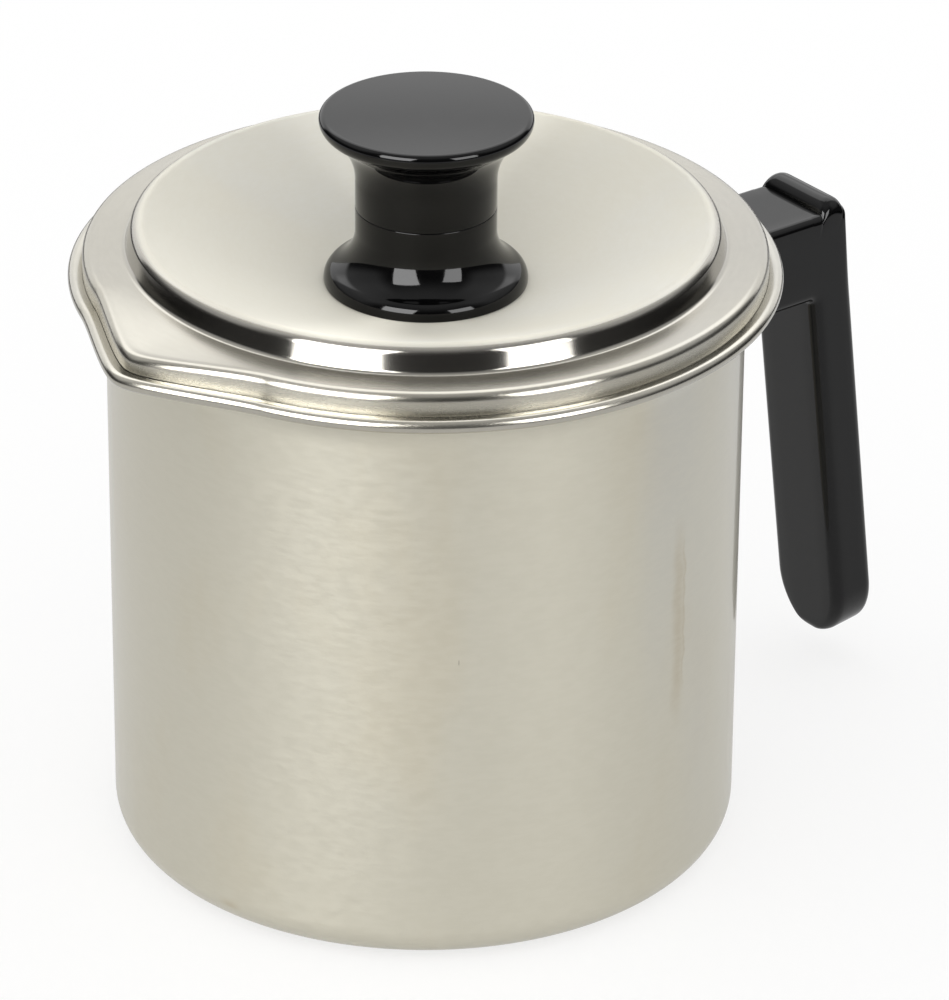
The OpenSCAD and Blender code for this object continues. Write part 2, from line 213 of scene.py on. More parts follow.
def colour(r, g, b):
    return (r, g, b, 1.0)


def polar(net):
    # angle round Z in radians, atan2(y, x), then distance from Z and height in metres
    axes = net.add("ShaderNodeSeparateXYZ", inputs={0: net.place()})
    x, y, z = (Wire(net, axes.socket.node.outputs[k]) for k in range(3))
    return y.math("ARCTAN2", x), (x * x + y * y) ** 0.5, z


steelLook = {  # colours, roughness of each finish, and the sizes of the grain in metres
    "base": (0.68, 0.65, 0.545), "stain": (0.66, 0.61, 0.48), "cool": (0.635, 0.635, 0.61),
    "dish": (0.88, 0.865, 0.795), "shiny": (0.385, 0.37, 0.335), "wiped": (0.78, 0.75, 0.65),
    "brown": (0.53, 0.45, 0.31), "nick": (0.22, 0.17, 0.12),
    # of each patchy tint: where the noise starts and ends it, then its share from and to
    "stained": (0.52, 0.72, 0.0, 0.55), "cooled": (0.5, 0.7, 0.0, 0.6), "wipes": (0.35, 0.65, 0.0, 0.16),
    "dishShare": 0.6, "nickShare": 0.7,
    "satin": 0.40, "matt": 0.72, "polished": 0.14, "mattDull": 0.52,
    "lineRough": 0.12, "wipeRough": 0.14, "blotchRough": 0.10,
    "blotchSize": 0.03, "blotchScale": (1, 1, 0.45), "coolSize": 0.045, "coolScale": (1, 1, 0.15),
    "lineSize": 0.00022, "lineTurn": 0.004, "wipeSize": 0.0011, "wipeTurn": 0.02,
    "grainStrength": 0.10, "grainDepth": 0.00002,
}

marks = {  # of each mark, its angle in radians and its height in metres: middle, half size, softness
    "drip": {"angle": (-1.318, 0.022, 0.02), "height": (0.064, 0.018, 0.008), "share": 0.45},
    "edge": {"angle": (-1.290, 0.004, 0.005), "height": (0.066, 0.015, 0.004), "share": 0.35},
    "spot": {"angle": (-2.875, 0.03, 0.025), "height": (0.0045, 0.0015, 0.0015), "share": 0.6},
    "nick": {"angle": (-2.116, 0.0012, 0.001), "height": (0.0678, 0.0005, 0.0003), "share": 1.0},
}
markWall = {"edge": (0.0630, 0.0633), "wander": 0.05, "wanderSize": 0.006}  # edge: from inner to outer face


def patch(net, value, middle, half, soft):
    # 1 within half of the middle and 0 beyond it, softened over soft
    off = (value - middle).math("ABSOLUTE")
    return 1.0 - net.spread(off, max(half - soft, 0), half + soft)


def oneMark(net, mark, angle, height):
    # a mark's share of the colour: its patch by angle times its patch by height times its own share
    return patch(net, angle, *mark["angle"]) * patch(net, height, *mark["height"]) * mark["share"]


def wallMarks(net, angle, radius, height):
    # share of a brown drip, its edge and a spot by the foot, then of a nick, all on the outer face
    outside = net.spread(radius, *markWall["edge"])
    bent = angle + (net.noise(net.place(), markWall["wanderSize"], 3) - 0.5) * markWall["wander"]
    drip, edge = (oneMark(net, marks[key], bent, height) for key in ("drip", "edge"))
    spot, nick = (oneMark(net, marks[key], angle, height) for key in ("spot", "nick"))
    return (drip + edge + spot) * outside, nick * outside


def steelNodes(net):
    # satin sheet with fine lines round the axis; the mesh says what share is polished or matt
    polish = net.add("ShaderNodeAttribute", {"attribute_name": "polish"}, output=2)
    matt = net.add("ShaderNodeAttribute", {"attribute_name": "matt"}, output=2)
    angle, radius, height = polar(net)
    satin = 1.0 - polish
    names = ("base", "stain", "cool", "dish", "shiny", "wiped", "brown", "nick")
    shade = {key: colour(*steelLook[key]) for key in names}
    blotch = net.noise(net.place(steelLook["blotchScale"]), steelLook["blotchSize"], 4)
    tint = net.mix(net.spread(blotch, *steelLook["stained"]), shade["base"], shade["stain"])
    cool = net.noise(net.place(steelLook["coolScale"]), steelLook["coolSize"], 2)
    tint = net.mix(net.spread(cool, *steelLook["cooled"]), tint, shade["cool"])
    tint = net.mix(matt, tint, net.mix(steelLook["dishShare"], tint, shade["dish"]))
    brown, nick = wallMarks(net, angle, radius, height)
    tint = net.mix(brown, tint, shade["brown"])
    tint = net.mix(polish, tint, shade["shiny"])
    tint = net.mix(nick * steelLook["nickShare"], tint, shade["nick"])
    turns = net.add("ShaderNodeCombineXYZ", inputs={0: angle * steelLook["lineTurn"], 1: radius, 2: height})
    lines = net.noise(turns, steelLook["lineSize"], 3, 0.7)
    broad = net.add("ShaderNodeCombineXYZ", inputs={0: angle * steelLook["wipeTurn"], 1: radius, 2: height})
    wipes = net.noise(broad, steelLook["wipeSize"], 4, 0.65)
    tint = net.mix(net.spread(wipes, *steelLook["wipes"]) * satin, tint, shade["wiped"])
    plain = steelLook["satin"] + matt * (steelLook["matt"] - steelLook["satin"])
    rough = plain + (lines - 0.5) * steelLook["lineRough"] + (wipes - 0.5) * steelLook["wipeRough"]
    rough = rough + (blotch - 0.5) * steelLook["blotchRough"]
    grain = {"Strength": satin * steelLook["grainStrength"], "Distance": steelLook["grainDepth"],
             "Height": lines + wipes * 0.5}
    return {"Base Color": tint, "Metallic": 1.0 - matt * steelLook["mattDull"],
            "Roughness": rough * satin + steelLook["polished"] * polish,
            "Normal": net.add("ShaderNodeBump", inputs=grain)}


blackLook = {  # wornRough: where the noise starts and ends it, then what it adds there
    "base": (0.0012, 0.0012, 0.0014), "worn": (0.003, 0.003, 0.0032), "index": 1.39,
    "rough": 0.06, "wornRough": (0.45, 0.75, 0.0, 0.05), "wornSize": 0.004,
    "waveSize": 0.02, "waveStrength": 0.1, "waveDepth": 0.0001,
}
platedLook = {  # rough: where the noise starts and ends it, then the roughness there
    "dull": (0.66, 0.66, 0.67), "bright": (0.74, 0.74, 0.75), "rough": (0.3, 0.7, 0.22, 0.4),
    "spotSize": 0.0012, "spotStrength": 0.15, "spotDepth": 0.00003,
}
brassLook = {
    "dull": (0.72, 0.55, 0.24), "bright": (0.82, 0.67, 0.34), "rough": (0.3, 0.7, 0.2, 0.38),
    "spotSize": 0.0015, "spotScale": (1, 1, 4),
}


def blackNodes(net):
    # polished black moulding with faint handling marks
    worn = net.noise(net.place(), blackLook["wornSize"], 4, 0.6)
    waves = net.noise(net.place(), blackLook["waveSize"], 1)
    rough = blackLook["rough"] + net.spread(worn, *blackLook["wornRough"])
    bump = {"Strength": blackLook["waveStrength"], "Distance": blackLook["waveDepth"], "Height": waves}
    tint = net.mix(worn, colour(*blackLook["base"]), colour(*blackLook["worn"]))
    return {"Base Color": tint, "Roughness": rough, "Normal": net.add("ShaderNodeBump", inputs=bump)}


def spotted(net, look, spots):
    # colour from dull to bright, and roughness between its limits, both following the spots
    return {"Base Color": net.mix(spots, colour(*look["dull"]), colour(*look["bright"])),
            "Roughness": net.spread(spots, *look["rough"])}


def platedNodes(net):
    # plated fastener with small spots
    spots = net.noise(net.place(), platedLook["spotSize"], 3)
    bump = {"Strength": platedLook["spotStrength"], "Distance": platedLook["spotDepth"], "Height": spots}
    return {**spotted(net, platedLook, spots), "Normal": net.add("ShaderNodeBump", inputs=bump)}


def brassNodes(net):
    # turned brass, its spots flattened along the axis
    return spotted(net, brassLook, net.noise(net.place(brassLook["spotScale"]), brassLook["spotSize"], 3))


wallFinish = {  # a thin clear film gives the wall's edges their sheen
    "Coat Weight": 0.6, "Coat Roughness": 0.07, "Coat IOR": 1.4,
    "Anisotropic": 0.3, "Anisotropic Rotation": 0.25,
}
lidFinish = {"Anisotropic": 0.8, "Anisotropic Rotation": 0.25}
steel = newMaterial("satinStainless", wallFinish, steelNodes)
brushed = newMaterial("brushedStainless", lidFinish, steelNodes)
black = newMaterial("blackMoulding", {"IOR": blackLook["index"]}, blackNodes)
plated = newMaterial("platedSteel", {"Metallic": 1.0}, platedNodes)
brass = newMaterial("turnedBrass", {"Metallic": 1.0}, brassNodes)
print("materials made")


def dress(piece, material, body, slotName, *nodes):
    # finish, body and the CAD nodes that the piece stands for; the slot's name, slotName, is not used
    piece.data.materials.clear()
    piece.data.materials.append(material)
    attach(piece, body)
    if nodes:
        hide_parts(*nodes)


# the pot

pot = {
    "radius": 63.5, "height": 123.4, "wall": 0.8, "corner": 7.0,
    "flareHeight": 9.5, "flareRadius": 10.8, "crownDrop": 0.15,
    "beadReach": 1.3, "bead": 2.8, "beadTop": 105.0, "beadPolish": 0.65, "flarePolish": (0.7, 0.2),
    "spoutOut": 7.4, "spoutHalf": 22.7, "spoutTurn": 3.5, "spoutPower": 1.67, "spoutBlunt": 2.5,
}
pot["height"] = float(nodeBox("pot_body")[1][2])
bore = pot["radius"] - pot["wall"]
flareZ = pot["height"] - pot["flareHeight"]
flareX = bore + pot["flareRadius"]
flareEnd = math.degrees(math.asin((pot["flareHeight"] - pot["crownDrop"]) / pot["flareRadius"]))
flareEndR = flareX - pot["flareRadius"] * math.cos(math.radians(flareEnd))
beadR = pot["bead"] / 2
beadX = flareEndR + pot["beadReach"]
beadZ = pot["height"] - beadR
spoutAt = 180 + pot["spoutTurn"]


def spoutShare(angle):
    # share of the spout's reach: (1 - soft(a) / soft(half)) ^ power, soft(a) = sqrt(a^2 + b^2) - b
    off = (np.degrees(angle) - spoutAt + 180) % 360 - 180
    soft = lambda a: np.sqrt(a * a + pot["spoutBlunt"] ** 2) - pot["spoutBlunt"]
    inside = np.clip(1 - soft(off) / soft(pot["spoutHalf"]), 0, 1)
    return inside ** pot["spoutPower"]


def aroundPot(coarse, fine):
    # angles round the pot, closer together over the spout
    half = pot["spoutHalf"] + 1
    rest = np.linspace(spoutAt + half, spoutAt + 360 - half, coarse, endpoint=False)
    near = np.linspace(spoutAt - half, spoutAt + half, fine, endpoint=False)
    return np.radians(np.concatenate([near, rest]))


def makePot():
    # up the outside, over the flare and round the bead, and down the inside
    run, beadCount = 26, 44
    centre = np.array([flareX, flareZ])
    gapX, gapZ = flareX - beadX, flareZ - beadZ
    gap = math.hypot(gapX, gapZ)
    outerR = pot["flareRadius"] - pot["wall"]
    meet = math.degrees(math.acos((gap ** 2 + beadR ** 2 - outerR ** 2) / (2 * gap * beadR)))
    stop = math.degrees(math.atan2(gapZ, gapX)) - meet
    meetX = beadX + beadR * math.cos(math.radians(stop))
    meetZ = beadZ + beadR * math.sin(math.radians(stop))
    outerEnd = math.degrees(math.atan2(meetZ - flareZ, flareX - meetX))
    flat = pot["radius"] - pot["corner"]
    outerFlare = arc(*centre, outerR, 180, 180 - outerEnd, run)
    innerFlare = arc(*centre, pot["flareRadius"], 180 - flareEnd, 180, run)
    beadRound = arc(beadX, beadZ, beadR, stop + 3, pot["beadTop"], beadCount)
    parts = [
        line((0, 0), (flat, 0), 14), arc(flat, pot["corner"], pot["corner"], -90, 0, 20),
        line((pot["radius"], pot["corner"] + 1), (pot["radius"], flareZ - 1), 24),
        outerFlare, beadRound, innerFlare,
        line((bore, flareZ - 1), (bore, pot["corner"] + 1), 24),
        arc(flat, pot["corner"], pot["corner"] - pot["wall"], 0, -90, 16),
        line((flat - 1, pot["wall"]), (0, pot["wall"]), 12), np.array([[0, pot["wall"]]]),
    ]
    profile = np.vstack(parts)
    innerShare = (innerFlare[:, 0] - bore) / (flareEndR - bore)
    shares = [np.zeros(len(p)) for p in parts]
    shares[3], shares[4], shares[5] = innerShare[::-1], np.ones(beadCount), innerShare
    share = np.concatenate(shares)
    warp = lambda r, z, a: (r + pot["spoutOut"] * share[None, :] * spoutShare(a), z)
    polish = [np.zeros(len(p)) for p in parts]
    polish[3] = np.linspace(0, 1, run) ** 2
    polish[4] = np.full(beadCount, pot["beadPolish"])
    polish[5] = np.linspace(*pot["flarePolish"], run)
    values = {"polish": np.concatenate(polish)}
    return turned("potBody", profile, aroundPot(220, 110), warp, values=values)


dress(makePot(), steel, "pot", "stainless", "pot_body")
print("pot made")

# the lid

lid = {
    "rise": 4.4, "edge": 1.65, "skirtRoom": 0.2, "skirtLift": -0.18, "beakOut": 6.9, "beakDip": 1.0,
    "ring": 8.5, "crest": 5.2, "crestRun": 0.95, "crestRadius": 2.2, "crestLean": 15.0,
    "dish": 13.2, "dishTilt": 24.0, "dishPower": 1.25, "seat": 20.6, "hole": 2.25, "footFillet": 1.1,
    "flatStart": 0.6, "skirtStart": 0.2,
    # levels at the two ends of each part of the face, from the hole to the skirt's end
    "polish": [(0, 0), (0, 0), (-0.3, 1.5), (1, 0.8), (0.8, 0.8), (0.8, 0.6), (0.5, 0.5), (0.5, 0.5)],
    "matt": [(1, 1), (1, 1), (1, 0)] + [(0, 0)] * 5,
}
lidR = flareEndR - lid["skirtRoom"]
ringZ = pot["height"] + lid["rise"]
skirtZ = pot["height"] + lid["skirtLift"]
flatR = lidR - lid["edge"]
footR = lidR - lid["ring"]
crestX = footR - lid["crestRun"] - lid["crestRadius"] * math.cos(math.radians(lid["crestLean"]))
crestTop = ringZ + lid["crest"]
crestZ = crestTop - lid["crestRadius"]
seatZ = crestTop - lid["dish"]
beakRoot = footR + 1


def lidFace(drop):
    # one face of the sheet, from the hole to the skirt's end, lying drop below the upper face
    t = math.radians(lid["dishTilt"])
    end = np.array([crestX - lid["crestRadius"] * math.sin(t), crestZ + lid["crestRadius"] * math.cos(t)])
    u = np.linspace(0, 1, 40, endpoint=False)[:, None]
    seat = np.array([lid["seat"], seatZ])
    reach = end - seat
    dish = np.hstack([seat[0] + reach[0] * u, seat[1] + reach[1] * u ** lid["dishPower"]])
    crest = arc(crestX, crestZ, lid["crestRadius"] - drop, 90 + lid["dishTilt"], lid["crestLean"], 28)
    foot = np.array([footR - drop, ringZ - drop])
    flatStart = np.array([beakRoot + lid["flatStart"], ringZ - drop])
    bend = fillet(crest[-1], foot, flatStart, lid["footFillet"] + drop, 12)
    flat = line(flatStart, (flatR, ringZ - drop), 16)
    edge = arc(flatR, ringZ - lid["edge"], lid["edge"] - drop, 90, 0, 18)
    skirt = line((lidR - drop, ringZ - lid["edge"] - lid["skirtStart"]), (lidR - drop, skirtZ), 6)
    last = np.array([[lidR - drop, skirtZ]])
    lower = np.array([0, drop])
    inner = line((lid["hole"], seatZ), (lid["seat"], seatZ), 10) - lower
    return [inner, dish - lower, crest, bend, flat, edge, skirt, last]


def shareAlong(levels, parts):
    # a share for each point, even between the two levels of its part and held within 0 and 1
    return np.clip(np.concatenate([np.linspace(a, b, len(p)) for (a, b), p in zip(levels, parts)]), 0, 1)


def makeLid():
    # over the upper face and back along the lower one; the beak moves out and dips with the spout
    upper, lower = lidFace(0), lidFace(pot["wall"])
    profile = np.vstack(upper + [np.vstack(lower)[::-1]])
    values = {key: np.concatenate([shareAlong(lid[key], upper), shareAlong(lid[key], lower)[::-1]])
              for key in ("polish", "matt")}

    def warp(r, z, a):
        s = spoutShare(a) * np.clip((r - beakRoot) / (flatR - 1 - beakRoot), 0, 1)
        fall = np.clip((z - skirtZ) / (ringZ - lid["edge"] - skirtZ), 0, 1)
        return r + lid["beakOut"] * s, z - lid["beakDip"] * s * fall

    return turned("lidShell", profile, aroundPot(220, 110), warp, looped=True, values=values)


dress(makeLid(), brushed, "lid", "stainless", "lid")
print("lid made")

# the knob, a lower and an upper moulding that meet at a seam round the neck

knob = {
    "foot": 20.3, "neck": 14.05, "top": 21.15, "footHeight": 16.2, "capHeight": 20.2,
    "shoulder": 3.2, "shoulderZ": 0.6, "shoulderEnd": 62.0, "footEdge": 0.3,
    "edgeLow": 2.9, "edgeHigh": 1.2, "crown": 0.5, "under": 12.0, "seam": 0.18,
    "screwHole": 2.25, "insertHole": 4.52, "insertDepth": 13.0, "around": 200,
}


def makeKnobBase():
    # a round shoulder, then a hollow up to the neck
    cx = knob["foot"] - knob["shoulder"]
    end = math.radians(knob["shoulderEnd"])
    hollow = (cx - knob["neck"] + knob["shoulder"] * math.cos(end)) / (1 - math.cos(end))
    hz = knob["shoulderZ"] + (knob["shoulder"] + hollow) * math.sin(end)
    top = knob["footHeight"]
    parts = [
        line((knob["screwHole"], 0), (knob["foot"] - knob["footEdge"], 0), 14),
        arc(knob["foot"] - knob["footEdge"], knob["footEdge"], knob["footEdge"], -90, -10, 6),
        arc(cx, knob["shoulderZ"], knob["shoulder"], 0, knob["shoulderEnd"], 24),
        arc(knob["neck"] + hollow, hz, hollow, 180 + knob["shoulderEnd"] - 2, 180, 30),
        line((knob["neck"], hz + 0.3), (knob["neck"], top - knob["seam"]), 5),
        arc(knob["neck"] - knob["seam"], top - knob["seam"], knob["seam"], 0, 90, 6),
        line((knob["neck"] - 1, top), (knob["screwHole"], top), 8), np.array([[knob["screwHole"], top]]),
    ]
    profile = np.vstack(parts) + np.array([0, seatZ])
    return turned("knobBase", profile, fullTurn(knob["around"]), looped=True)


def makeKnobTop():
    # a hollow from the seam up to the round edge, then a gently crowned top
    low, high = knob["edgeLow"], knob["edgeHigh"]
    ex, ez = knob["top"] - high, knob["capHeight"] - knob["crown"] - high
    lx = knob["top"] - low
    ux = knob["neck"] + knob["under"]
    tilt = math.degrees(math.asin((ux - lx) / (low + knob["under"])))
    uz = ez - (low + knob["under"]) * math.cos(math.radians(tilt))
    r = np.linspace(ex - 0.1, 0, 24)
    crown = np.stack([r, knob["capHeight"] - knob["crown"] * (r / ex) ** 2], -1)
    parts = [
        np.array([[0, knob["insertDepth"]]]),
        line((knob["insertHole"], knob["insertDepth"]), (knob["insertHole"], 0), 5),
        line((knob["insertHole"], 0), (knob["neck"] - knob["seam"], 0), 8),
        arc(knob["neck"] - knob["seam"], knob["seam"], knob["seam"], -90, 0, 6),
        arc(ux, uz, knob["under"], 180, 90 + tilt, 30), arc(lx, ez, low, tilt - 88, 0, 24),
        arc(ex, ez, high, 4, 86, 20), crown,
    ]
    profile = np.vstack(parts) + np.array([0, seatZ + knob["footHeight"]])
    return turned("knobTop", profile, fullTurn(knob["around"]))


dress(makeKnobBase(), black, "lid", "black_moulding", "knob_base")
dress(makeKnobTop(), black, "lid", "black_moulding", "knob_top")
print("knob made")

# the handle

handle = {
    "width": 20.4, "grip": 10.45, "arm": 19.5, "armDrop": 12.7, "gap": 30.1, "lean": 7.15, "end": 7.4,
    "edge": 2.25, "armEdge": 1.7, "innerEdge": 2.45, "ridgeHeight": 2.6, "ridgeWidth": 6.6, "crotch": 1.2,
    "plate": 1.2, "plateRoom": 0.1, "tipLong": 12.5, "tipRoom": 0.25, "thin": 0.05,
    "ridgeBlend": (-0.2, 0.9),
    "recess": 5.25, "recessDepth": 5.5, "cutterLong": 20.0, "cutterSides": 64, "sharpAngle": 38,
}
armTop = pot["height"] - handle["armDrop"]
armZ = armTop - handle["arm"]
gripIn = pot["radius"] + handle["gap"]
lean = math.radians(handle["lean"])
outerX = gripIn + handle["grip"] / math.cos(lean) - handle["arm"] * math.tan(lean)
plateR = pot["radius"] + handle["plate"] + handle["plateRoom"]
gripDown = np.array([math.sin(lean), -math.cos(lean)])
gripOut = np.array([math.cos(lean), math.sin(lean)])
crotchX = gripIn - handle["crotch"] * math.tan(math.radians(45) - lean / 2)
crotchAt = np.array([crotchX, armZ - handle["crotch"]])
ridgeR = handle["ridgeWidth"] / 2


def ringPoints(inner, outer, halfWidth, rIn, rOut):
    # a rounded rectangle between inner and outer, in the plane that holds the line and Y
    corner, side = 9, 4  # points on each corner, and between two of them
    axis = outer - inner
    length = np.linalg.norm(axis, axis=1)[:, None]
    axis = axis / length
    turn = np.radians(np.linspace(0, 90, corner))
    pieces = []
    for k, (alongEnd, acrossEnd, r) in enumerate([(1, 1, rOut), (0, 1, rIn), (0, -1, rIn), (1, -1, rOut)]):
        r = r[:, None]
        t = turn + math.radians(90 * k)
        along = (length - r if alongEnd else r) + r * np.cos(t)
        across = acrossEnd * (halfWidth[:, None] - r) + r * np.sin(t)
        pieces.append(np.stack([along, across], -1))
    ring = []
    for k in range(4):
        ring.append(pieces[k])
        a, b = pieces[k][:, -1:], pieces[(k + 1) % 4][:, :1]
        t = np.linspace(0, 1, side + 2)[1:-1][None, :, None]
        ring.append(a * (1 - t) + b * t)
    ring = np.concatenate(ring, 1)
    x = inner[:, None, 0] + axis[:, None, 0] * ring[..., 0]
    z = inner[:, None, 1] + axis[:, None, 1] * ring[..., 0]
    return np.stack([x, ring[..., 1], z], -1)


def armSections():
    # sections across the arm, as inner points, outer points, half widths and radii of the outer edges
    x = np.linspace(plateR, crotchX, 18)
    ones = np.ones_like(x)
    inner, outer = np.stack([x, armZ * ones], -1), np.stack([x, armTop * ones], -1)
    return inner, outer, handle["width"] / 2 * ones, handle["armEdge"] * ones


def fanSections():
    # sections on rays from the crotch's centre to the arm's top, the thumb ridge and the outer face
    ridgeX = outerX + (ridgeR - handle["ridgeHeight"]) * math.tan(lean) - ridgeR
    ridgeZ = armTop + handle["ridgeHeight"] - ridgeR
    rise = 180 - math.degrees(math.asin((armTop - ridgeZ) / ridgeR))
    over = line((crotchX + 0.3, armTop), (ridgeX - ridgeR - 0.2, armTop), 8)
    ridge = arc(ridgeX, ridgeZ, ridgeR, rise, math.degrees(lean), 44)
    square = crotchAt + gripOut * (handle["grip"] + handle["crotch"])
    outer = np.vstack([over, ridge, line(ridge[-1] + gripDown * 0.4, square, 12)])
    ray = outer - crotchAt
    inner = crotchAt + ray / np.linalg.norm(ray, axis=1)[:, None] * handle["crotch"]
    radius = handle["armEdge"] + (handle["edge"] - handle["armEdge"]) * np.linspace(0, 1, len(outer))
    onRidge = smoothStep(outer[:, 1], armTop + handle["ridgeBlend"][0], armTop + handle["ridgeBlend"][1])
    radius = radius + (ridgeR - handle["thin"] - radius) * onRidge
    return inner, outer, np.full(len(outer), handle["width"] / 2), radius


def gripSections():
    # sections down the grip; over the tip's length its half width is w sqrt(1 - t^2), and over its
    # last edge radius both faces draw in by e - e sqrt(1 - t^2), with t from 0 to 1
    edge = handle["edge"]
    tip = (armZ - handle["end"]) / math.cos(lean) - handle["tipRoom"]
    nearTip = handle["tipLong"] * (1 - np.sin(np.radians(np.linspace(3, 90, 40))))
    along = np.concatenate([np.linspace(0.3, tip - handle["tipLong"], 30), tip - nearTip])
    left = tip - along
    taper = np.clip(1 - left / handle["tipLong"], 0, 1)
    half = handle["width"] / 2 * np.sqrt(np.clip(1 - taper ** 2, 0, 1))
    inset = edge - edge * np.sqrt(np.clip(1 - np.clip(1 - left / edge, 0, 1) ** 2, 0, 1))
    inner = crotchAt + gripOut * handle["crotch"] + gripDown * along[:, None]
    outer = inner + gripOut * handle["grip"]
    inset = gripOut * inset[:, None]
    return inner + inset, outer - inset, np.maximum(half, handle["thin"]), np.full(len(along), edge)


def saddleRings(first):
    # smaller copies of the first section that close the arm on the saddle: x = sqrt(R^2 - y^2)
    centre = np.array([0, 0, (armTop + armZ) / 2])
    rings = np.stack([centre + (first - centre) * scale for scale in (0.0, 0.3, 0.6, 0.85, 1.0)])
    rings[..., 0] = np.sqrt(plateR ** 2 - rings[..., 1] ** 2)
    return rings


def makeHandle():
    # sections along the arm, fanned round the crotch under the thumb ridge, then down the grip
    groups = zip(armSections(), fanSections(), gripSections())
    inner, outer, width, rOut = (np.concatenate(group) for group in groups)
    limit = np.minimum(width, np.linalg.norm(outer - inner, axis=1) / 2) * 0.98
    rings = ringPoints(inner, outer, width, np.minimum(handle["innerEdge"], limit), np.minimum(rOut, limit))
    tip = np.tile(rings[-1].mean(0), (1, rings.shape[1], 1))
    grid = np.concatenate([saddleRings(rings[0]), rings[1:], tip])
    index = np.arange(grid.shape[0] * grid.shape[1]).reshape(grid.shape[:2])
    index[0, :] = index[0, 0]
    index[-1, :] = index[-1, 0]
    used, flat = np.unique(index, return_inverse=True)
    faces = gridFaces(flat.reshape(index.shape), False, True)
    body = meshPiece("handleMoulding", grid.reshape(-1, 3)[used], faces, handle["sharpAngle"])
    return bored(body, handle["recess"], outerX - handle["recessDepth"], (armTop + armZ) / 2)


def bored(body, r, floorX, z):
    # a round recess for the screw's head, along X from floorX out through the outer face
    n = handle["cutterSides"]
    x = np.repeat([floorX, floorX + handle["cutterLong"]], n)
    y, up = r * np.cos(fullTurn(n)), r * np.sin(fullTurn(n))
    points = np.stack([x, np.tile(y, 2), np.tile(up, 2) + z], -1)
    sides = [(k, (k + 1) % n, n + (k + 1) % n, n + k) for k in range(n)]
    ends = [tuple(range(n)), tuple(range(n, 2 * n))]
    cutter = meshPiece("recessCutter", points, sides + ends, handle["sharpAngle"])
    cut = body.modifiers.new("recess", "BOOLEAN")
    cut.operation, cut.solver, cut.object = "DIFFERENCE", "EXACT", cutter
    ready = body.evaluated_get(bpy.context.evaluated_depsgraph_get())
    whole, body.data = body.data, bpy.data.meshes.new_from_object(ready)
    body.modifiers.clear()
    bpy.data.objects.remove(cutter)
    bpy.data.meshes.remove(whole)
    body.data.name = "handleMoulding"
    body.data.set_sharp_from_angle(angle=math.radians(handle["sharpAngle"]))
    return body


dress(makeHandle(), black, "pot", "black_moulding", "handle")
print("handle made")

# CAD nodes that stay, with their finishes

keptNodes = {
    "handle_bracket": steel, "bracket_boss": plated, "handle_washer": plated, "handle_screw": plated,
    "strainer": steel, "knob_insert": brass, "knob_washer": plated, "knob_screw": plated,
}
for name, finish in keptNodes.items():
    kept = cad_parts[name]
    kept.data.materials.clear()
    kept.data.materials.append(finish)
print("CAD nodes dressed")

# floor, light and camera

stageLook = {
    "floor": 1.0, "size": 3.0, "floorShare": 0.7, "ownGloss": 0.62, "lit": 0.42, "fill": 1.0,
    "sheet": 1.18, "sheetHigh": 2.15, "room": 0.045, "roomHigh": 0.55, "sides": 0.5,
    # limits in degrees, of the turn away from the camera's side or of the rise above level
    "backTurn": (129.0, 137.0), "backTop": (68.0, 84.0), "sheetRise": (24, 35), "roomRise": (25, 75),
    "sideTurn": (55, 85), "sideRise": (10, 28), "sideTop": (45, 75),
}


def cameraSide():
    # level unit vectors towards the camera, (sin a, -cos a), and to its right, (cos a, sin a)
    a = math.radians(view["azimuth"])
    return Vector((math.sin(a), -math.cos(a), 0)), Vector((math.cos(a), math.sin(a), 0))


def rayKind(net):
    # 1 for camera, glossy and transmission rays, 0 for the rest, and 1 for glossy rays alone
    path = net.add("ShaderNodeLightPath").socket.node
    kinds = ("Camera", "Glossy", "Transmission")
    camera, glossy, through = (Wire(net, path.outputs[f"Is {kind} Ray"]) for kind in kinds)
    return (camera + glossy + through).math("MINIMUM", 1.0), glossy


def makeFloor():
    # pale floor, part of its own white and part lit, so that it keeps the shadow
    side = stageLook["size"]
    mesh = bpy.data.meshes.new("floorSheet")
    corners = [(-side, -side, 0), (side, -side, 0), (side, side, 0), (-side, side, 0)]
    mesh.from_pydata(corners, [], [(0, 1, 2, 3)])
    floor = bpy.data.objects.new("floorSheet", mesh)
    bpy.context.scene.collection.objects.link(floor)
    material = bpy.data.materials.new("paleFloor")
    material.use_nodes = True
    net = Net(material.node_tree)
    white, glossy = rayKind(net)
    away = polar(net)[1]
    near = 1.0 - net.spread(away, stageLook["lit"], 2 * stageLook["lit"])
    own = white * ((1.0 - glossy) + glossy * near * stageLook["ownGloss"])
    lit = net.add("ShaderNodeBsdfDiffuse", inputs={"Color": colour(*[stageLook["floor"]] * 3)})
    glow = net.add("ShaderNodeEmission", inputs={"Color": colour(1, 1, 1), "Strength": own})
    share = white * stageLook["floorShare"] + glossy * (1.0 - near) * (1.0 - stageLook["floorShare"])
    both = net.add("ShaderNodeMixShader", inputs={0: share, 1: lit, 2: glow})
    net.add("ShaderNodeOutputMaterial", inputs={"Surface": both})
    mesh.materials.append(material)


